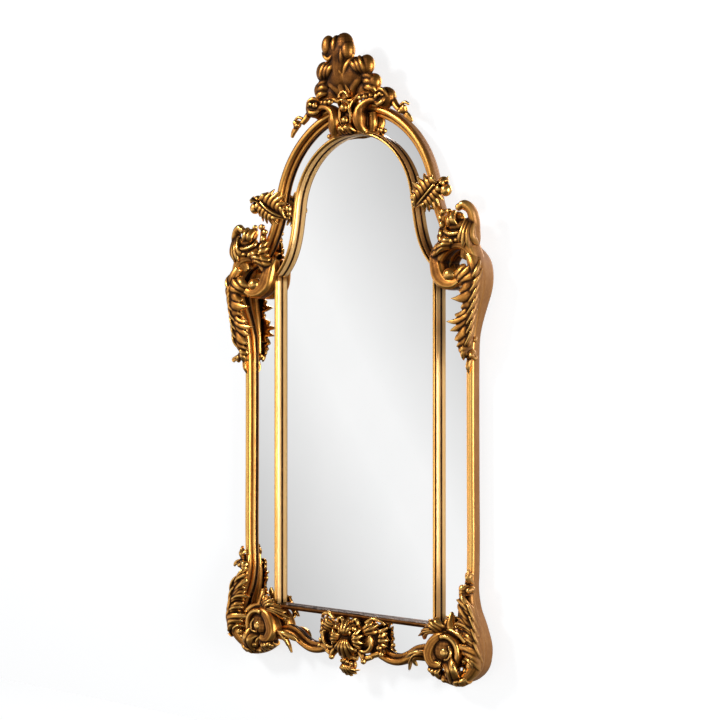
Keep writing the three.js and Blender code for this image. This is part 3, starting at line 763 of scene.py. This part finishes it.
def crest_shell(side):
    pieces = [
        stroke([(14, 808, 56, 16, 9), (26, 846, 62, 24, 12), (46, 878, 70, 30, 14), (78, 888, 66, 20, 14)]),
        stroke([(26, 804, 54, 14, 9), (64, 826, 62, 22, 14), (94, 836, 58, 18, 12)]),
        stroke([(8, 840, 70, 6, 6), (8, 862, 80, 9, 7), (14, 886, 87, 11, 8), (32, 904, 84, 12, 8),
                (52, 910, 76, 8, 6)], bow=2.2),
        stroke([(18, 806, 60, 9, 7), (30, 830, 74, 13, 8), (50, 848, 78, 13, 8), (70, 858, 72, 9, 7)],
               bow=2.2),
        knob(82, 888, 76, 29, 18, 31), knob(58, 890, 80, 24, 14, 24),
        knob(102, 838, 66, 26, 18, 26), knob(84, 844, 70, 20, 14, 20),
    ]
    pieces += fan([(2, 816, 62), (28, 806, 60)], [(8, 852, 80), (36, 838, 76)],
                  [(30, 892, 88), (54, 866, 84)], flute=0.0, notch=0.0, thick=10)
    for k in range(3):
        pieces.append(stroke([(24 + 17 * k, 900 + 8 * k, 80, 5, 5), (38 + 16 * k, 896 + 3 * k, 90, 9, 6),
                              (54 + 14 * k, 880 - k, 90, 9, 6), (66 + 10 * k, 864 - 2 * k, 78, 5, 5)]))
        pieces.append(stroke([(60 + 6 * k, 864 - 19 * k, 72, 5, 5), (78 + 6 * k, 860 - 18 * k, 80, 9, 6),
                              (96 + 4 * k, 854 - 17 * k, 79, 9, 6), (110 + 2 * k, 836 - 14 * k, 70, 5, 5)]))
    return pieces


def crest_spray(side):
    return [
        knob(136, 791, 54, 36, 24, 31), knob(120, 794, 76, 9, 7, 9),
        stroke([(110, 806, 66, 4, 4), (126, 814, 73, 7, 5), (146, 806, 75, 7, 5), (156, 788, 70, 5, 4)]),
        stroke([(106, 784, 66, 4, 4), (120, 774, 73, 7, 5), (138, 776, 76, 7, 5), (150, 790, 72, 5, 4)]),
        stroke([(128, 794, 80, 5, 4), (138, 800, 80, 5, 4), (144, 792, 78, 4, 4)]),
        stroke([(164, 778, 52, 11, 9), (176, 762, 54, 10, 9), (190, 750, 56, 9, 8)]),
        knob(206, 748, 60, 15, 11, 13), knob(200, 744, 66, 8, 7, 7), knob(212, 754, 64, 8, 7, 8),
        stroke([(208, 740, 58, 8, 7), (222, 728, 58, 9, 7), (234, 712, 54, 5, 5)], groove=0.3),
        stroke([(190, 764, 52, 5, 5), (208, 770, 54, 5, 5), (222, 762, 54, 4, 4)]),
        stroke([(60, 700, 52, 10, 14), (50, 716, 56, 17, 22), (46, 740, 60, 22, 26), (52, 766, 62, 16, 22),
                (74, 784, 64, 10, 16), (100, 788, 64, 9, 12), (118, 780, 62, 7, 9)], bow=2.4),
        stroke([(22, 790, 62, 7, 8), (44, 802, 68, 9, 9), (72, 806, 68, 10, 9), (104, 806, 60, 10, 9)]),
        knob(58, 797, 76, 10, 7, 8), knob(76, 798, 75, 10, 7, 8), knob(94, 800, 70, 9, 7, 8),
        stroke([(72, 702, 38, 11, 11), (78, 728, 42, 15, 13), (76, 756, 42, 13, 12)]),
        stroke([(84, 776, 48, 8, 10), (112, 770, 46, 9, 10), (140, 764, 44, 8, 9)]),
    ]


def at(side, rows):
    """Rows of a middle piece, on one side of it."""
    return [(side * x, *rest) for x, *rest in rows]


# The four pieces at the middle are made once, with both of their sides.
def crest_plume():
    return [
        stroke([(0, 800, 54, 40, 9), (-4, 840, 60, 36, 10), (-12, 890, 68, 34, 10),
                (-14, 930, 74, 40, 10)]),
        stroke([(-6, 802, 62, 15, 12), (-16, 840, 70, 16, 14), (-19, 872, 78, 21, 15),
                (-12, 910, 84, 34, 15), (-4, 940, 88, 44, 14), (0, 962, 88, 36, 12)], bow=2.3),
        knob(-2, 953, 80, 36, 22, 40), knob(16, 938, 82, 24, 20, 32), knob(-24, 956, 86, 16, 20, 32),
        knob(-55, 960, 88, 23, 18, 31), knob(-38, 938, 86, 24, 14, 20),
        stroke([(-80, 944, 84, 4, 5), (-66, 930, 92, 7, 6), (-46, 920, 95, 8, 6), (-30, 930, 96, 6, 5)]),
        stroke([(-16, 812, 66, 5, 6), (-30, 850, 77, 8, 7), (-40, 892, 84, 9, 7), (-46, 922, 86, 8, 6)]),
        stroke([(-6, 822, 70, 4, 5), (-8, 860, 82, 7, 6), (-2, 900, 90, 9, 6), (4, 926, 97, 8, 6),
                (4, 942, 98, 5, 4)]),
        stroke([(8, 806, 64, 5, 6), (6, 850, 77, 8, 7), (16, 892, 83, 9, 7), (34, 926, 82, 8, 6)]),
    ]


def crest_collar():
    pieces = [stroke([(0, 700, 54, 44, 10), (0, 750, 56, 42, 12), (0, 800, 58, 38, 10)]),
              knob(-4, 775, 74, 15, 14, 14), knob(0, 738, 76, 12, 10, 12),
              coil(-4, 804, 17, 17, 0, 180, 76, 76, 4, 4, 9, 9),
              stroke([(-22, 782, 76, 4, 6), (-14, 794, 86, 4, 6), (6, 795, 86, 4, 6), (16, 784, 78, 4, 6)])]
    for s in (1, -1):
        pieces += [
            stroke(at(s, [(16, 726, 70, 4, 6), (22, 750, 74, 5, 7), (18, 774, 76, 5, 7),
                          (26, 794, 70, 4, 6)])),
            stroke(at(s, [(62, 702, 46, 9, 9), (80, 695, 38, 8, 8), (94, 697, 34, 6, 6)])),
            knob(s * 98, 704, 35, 9, 8, 8),
        ]
        pieces += fan(at(s, [(4, 730, 74), (14, 732, 72)]), at(s, [(6, 714, 80), (22, 716, 76)]),
                      at(s, [(4, 696, 66), (18, 696, 66), (32, 700, 60)]), flute=3.4, notch=0.2)
    pieces.append(stroke([(-64, 700, 52, 7, 7), (-30, 703, 58, 8, 8), (0, 702, 60, 9, 8),
                          (30, 703, 58, 8, 8), (64, 700, 52, 7, 7)]))
    return pieces


def cartouche():
    pieces = [stroke([(-74, -766, 42, 26, 12), (-20, -772, 50, 56, 15), (30, -776, 50, 48, 15),
                      (72, -774, 42, 28, 12)]),
              knob(0, -770, 62, 34, 14, 34)]
    pieces += fan([(-12, -768, 76), (6, -768, 76)], [(-28, -794, 80), (24, -792, 80)],
                  [(-44, -808, 58), (-28, -826, 62), (-6, -834, 64), (14, -832, 64), (32, -816, 60)],
                  flute=3.4, notch=0.1, sharp=0.5, thick=10)
    pieces += fan([(-6, -764, 76), (6, -764, 76)], [(-16, -744, 80), (18, -744, 80)],
                  [(-30, -728, 62), (-12, -716, 64), (8, -714, 64), (28, -726, 62)], flute=3.6, notch=0.3,
                  thick=8)
    for s in (1, -1):
        pieces += fan(at(s, [(22, -764, 72), (24, -782, 72)]), at(s, [(40, -754, 78), (44, -786, 76)]),
                      at(s, [(54, -738, 60), (62, -756, 62), (64, -780, 62), (54, -800, 60)]),
                      flute=3.6, notch=0.35)
        pieces += fan(at(s, [(46, -742, 60), (52, -756, 60)]), at(s, [(76, -728, 66), (84, -750, 62)]),
                      at(s, [(88, -712, 50), (106, -722, 46), (108, -744, 44)]), flute=3.4, notch=0.3)
        pieces += fan(at(s, [(94, -742, 44), (94, -796, 46)]), at(s, [(112, -742, 46), (112, -794, 46)]),
                      at(s, [(132, -728, 32), (126, -746, 34), (134, -766, 32), (126, -786, 34),
                             (124, -806, 40)]), flute=3.4, notch=0.35)
        pieces += [
            coil(s * 64, -774, 30, 28, 90 - s * 50, 90 - s * 290, 58, 60, 6, 6, 16, 14),
            stroke(at(s, [(34, -792, 62, 6, 8), (54, -812, 64, 9, 10), (64, -830, 62, 9, 9)])),
            knob(s * 62, -831, 66, 9), knob(s * 22, -788, 76, 6), knob(s * 36, -800, 72, 7),
            knob(s * 18, -752, 78, 7), knob(s * 34, -740, 74, 8), knob(s * 46, -770, 76, 8),
            coil(s * 28, -724, 11, 8, 90 - s * 120, 90 + s * 150, 62, 62, 4.5, 4.5, 7, 6),
            stroke(at(s, [(60, -722, 54, 6, 7), (86, -709, 50, 7, 7), (112, -713, 44, 6, 6),
                          (122, -724, 40, 5, 5)])),
            stroke(at(s, [(92, -746, 50, 8, 10), (102, -770, 46, 9, 12), (96, -798, 48, 9, 11)])),
            stroke(at(s, [(40, -806, 62, 7, 8), (64, -822, 60, 9, 9), (88, -816, 56, 8, 8)])),
            knob(s * 112, -788, 56, 9, 8, 8), knob(s * 120, -806, 54, 8, 7, 7),
            stroke([(84 if s > 0 else -80, -812, 54, 10, 9), (s * 104, -806, 52, 10, 9),
                    (s * 122, -800, 50, 6, 7)]),
        ]
    return pieces


def cartouche_shell():
    pieces = [stroke([(-30, -828, 54, 8, 8), (0, -822, 60, 10, 9), (30, -828, 54, 8, 8)]),
              knob(0, -848, 52, 24, 12, 22),
              knob(-20, -838, 68, 6), knob(-8, -835, 72, 6), knob(4, -838, 72, 6), knob(16, -842, 68, 6)]
    pieces += fan([(-14, -838, 64), (14, -838, 64)], [(-20, -856, 70), (20, -856, 70)],
                  [(-32, -866, 50), (-20, -876, 54), (-4, -881, 56), (12, -881, 56), (26, -874, 54),
                   (36, -862, 50)], flute=3.8, notch=0.2, sharp=0.6, thick=8)
    return pieces


# Smoothing passes, tone of an even face, and how dark the hollows go.
CRISP = dict(soften=3, worn=0.14, gain=0.95)
SMOOTH = dict(soften=6, worn=0.08, gain=0.42)     # the crest is rounder and darker
PAIRED = (arch_leaf, shoulder_curl, shoulder_scroll, shoulder_boss, side_acanthus, corner_scroll,
          corner_boss, corner_acanthus, corner_leaf, crest_shell, crest_spray,
          rail_leaf)
MIDDLE = (crest_plume, crest_collar, cartouche, cartouche_shell)


def make_carvings():
    for make in PAIRED + MIDDLE:
        name = make.__name__
        style = SMOOTH if name.startswith("crest") else CRISP
        if make in MIDDLE:
            carve(name, make(), 1, **style)
            continue
        for side in (1, -1):
            carve(f"{name}_{WORDS[side]}", make(side), side, **style)


make_mouldings()
make_carvings()

KEPT_NODES = {"mirror": SILVER, "back_board": FIBRE, "hanger": STEEL, "wall_pad": RUBBER}
for name, node in nodes.items():
    for word, material in KEPT_NODES.items():
        if word in name:
            dress(node, material)

# ---- stage, lights and camera
scene = bpy.context.scene
scene.view_settings.view_transform = "Standard"


def plane(name, corners, material):
    """A sheet of white paper, which neither shades the object nor shows in its gilding."""
    obj = new_object(name, np.array(corners) / MM, [(0, 1, 2, 3)], smooth=False)
    obj.visible_glossy = False
    obj.visible_diffuse = False
    obj.visible_shadow = False
    dress(obj, material)


def white_paper():
    """Bright paper, clear when it is seen from behind, so that the wall doesn't hide the back."""
    material = bpy.data.materials.new("white_paper")
    tree, shader = nodes_of(material)
    feed(tree, shader, {
        "Base Color": ramp(tree, noise(tree, 2.0), [(0.0, (0.40, 0.41, 0.42)), (1.0, (0.42, 0.43, 0.44))]),
        "Roughness": 1.0, "Specular IOR Level": 0.0, "Emission Color": WHITE, "Emission Strength": 0.74})
    behind = add_node(tree, "ShaderNodeNewGeometry").outputs["Backfacing"]
    clear = add_node(tree, "ShaderNodeBsdfTransparent")
    mixer = add_node(tree, "ShaderNodeMixShader", {0: behind, 1: shader.outputs[0], 2: clear.outputs[0]})
    tree.links.new(mixer.outputs[0], tree.nodes["Material Output"].inputs["Surface"])
    return material


# in metres
SPAN = 6.0
WALL_Y, WALL_TOP = 0.001, 4
FLOOR_Z = -1.12
paper = white_paper()
plane("studio_wall", [(x, WALL_Y, z) for x, z in (
    (-SPAN, FLOOR_Z), (SPAN, FLOOR_Z), (SPAN, WALL_TOP), (-SPAN, WALL_TOP))], paper)
plane("studio_floor", [(x, y, FLOOR_Z) for x, y in (
    (-SPAN, -SPAN), (SPAN, -SPAN), (SPAN, SPAN), (-SPAN, SPAN))], paper)


def softbox(name, place, target, size, power, height=None):
    light = bpy.data.lights.new(name, "AREA")
    light.shape = "RECTANGLE"
    light.size = size
    light.size_y = height or size
    light.energy = power
    obj = bpy.data.objects.new(name, light)
    obj.location = place
    obj.rotation_euler = (Vector(target) - Vector(place)).to_track_quat("-Z", "Y").to_euler()
    scene.collection.objects.link(obj)


softbox("key", (-2.4, -3.2, 2.4), (0, 0, 0.1), 0.8, 95)
softbox("side", (3.6, -1.2, 0.2), (0, 0, 0), 1.4, 118, height=2.4)
softbox("rear", (1.0, 3.0, 1.6), (0, 0, 0), 2.0, 60)


MIRRORED_SIGHT = (-0.656, -0.755, 0.0)      # where the mirror turns the camera's line of sight
BAND = (-1.053, 0.915, -0.758)              # across the bright band, steeper than a unit vector


def make_world():
    world = bpy.data.worlds.new("studio")
    scene.world = world
    world.use_nodes = True
    tree = world.node_tree
    direction = add_node(tree, "ShaderNodeTexCoord").outputs["Generated"]

    def dot(*vector):
        node = add_node(tree, "ShaderNodeVectorMath", {0: direction, 1: vector}, operation="DOT_PRODUCT")
        return node.outputs["Value"]

    # what the mirror sees: a bright slanting band that greys off to both sides
    slant = maths(tree, "ABSOLUTE", maths(tree, "ADD", dot(*BAND), -0.012))
    mirrored = ramp(tree, slant, [(0.0, 0.5), (0.02, 0.5), (0.07, 0.435), (0.17, 0.30), (0.3, 0.21)])
    # what the gilding sees: the pale wall behind, and a dim studio in front with one wide window
    high = maths(tree, "ABSOLUTE", maths(tree, "ADD", dot(0, 0, 1), 0.10))
    behind = ramp(tree, high, [(0.0, 0.30), (0.35, 0.20), (0.75, 0.06), (1.0, 0.04)])
    strip = ramp(tree, high, [(0.0, 1.0), (0.13, 0.80), (0.28, 0.16), (0.6, 0.04), (1.0, 0.025)])
    ahead = dot(*MIRRORED_SIGHT)
    window = ramp(tree, ahead, [(0.0, 0.28), (0.70, 0.25), (0.78, 0.34), (0.87, 1.0)])
    studio = blend_colours(tree, 1.0, strip, window, blend="MULTIPLY")
    wallward = ramp(tree, maths(tree, "MULTIPLY_ADD", dot(0, 1, 0), 0.5, 0.5), [(0.46, 0.0), (0.66, 1.0)])
    around = blend_colours(tree, wallward, studio, behind)
    in_mirror = ramp(tree, ahead, [(0.90, 0.0), (0.955, 1.0)])
    seen = blend_colours(tree, in_mirror, around, mirrored)
    camera_ray = add_node(tree, "ShaderNodeLightPath").outputs["Is Camera Ray"]
    feed(tree, tree.nodes["Background"], {"Color": blend_colours(tree, camera_ray, seen, WHITE),
                                          "Strength": 2.0})


make_world()

SWING, PITCH = 0.7156, 0.0084               # radians, round the object and up
CAMERA_PLACE = (3.0622, -3.5326, 0.0)
lens = bpy.data.cameras.new("camera")
lens.lens = 79.35
lens.sensor_width = 36.0
camera = bpy.data.objects.new("camera", lens)
camera.location = CAMERA_PLACE
sight = Vector((-math.sin(SWING) * math.cos(PITCH), math.cos(SWING) * math.cos(PITCH), math.sin(PITCH)))
camera.rotation_euler = sight.to_track_quat("-Z", "Y").to_euler()
scene.collection.objects.link(camera)
scene.camera = camera
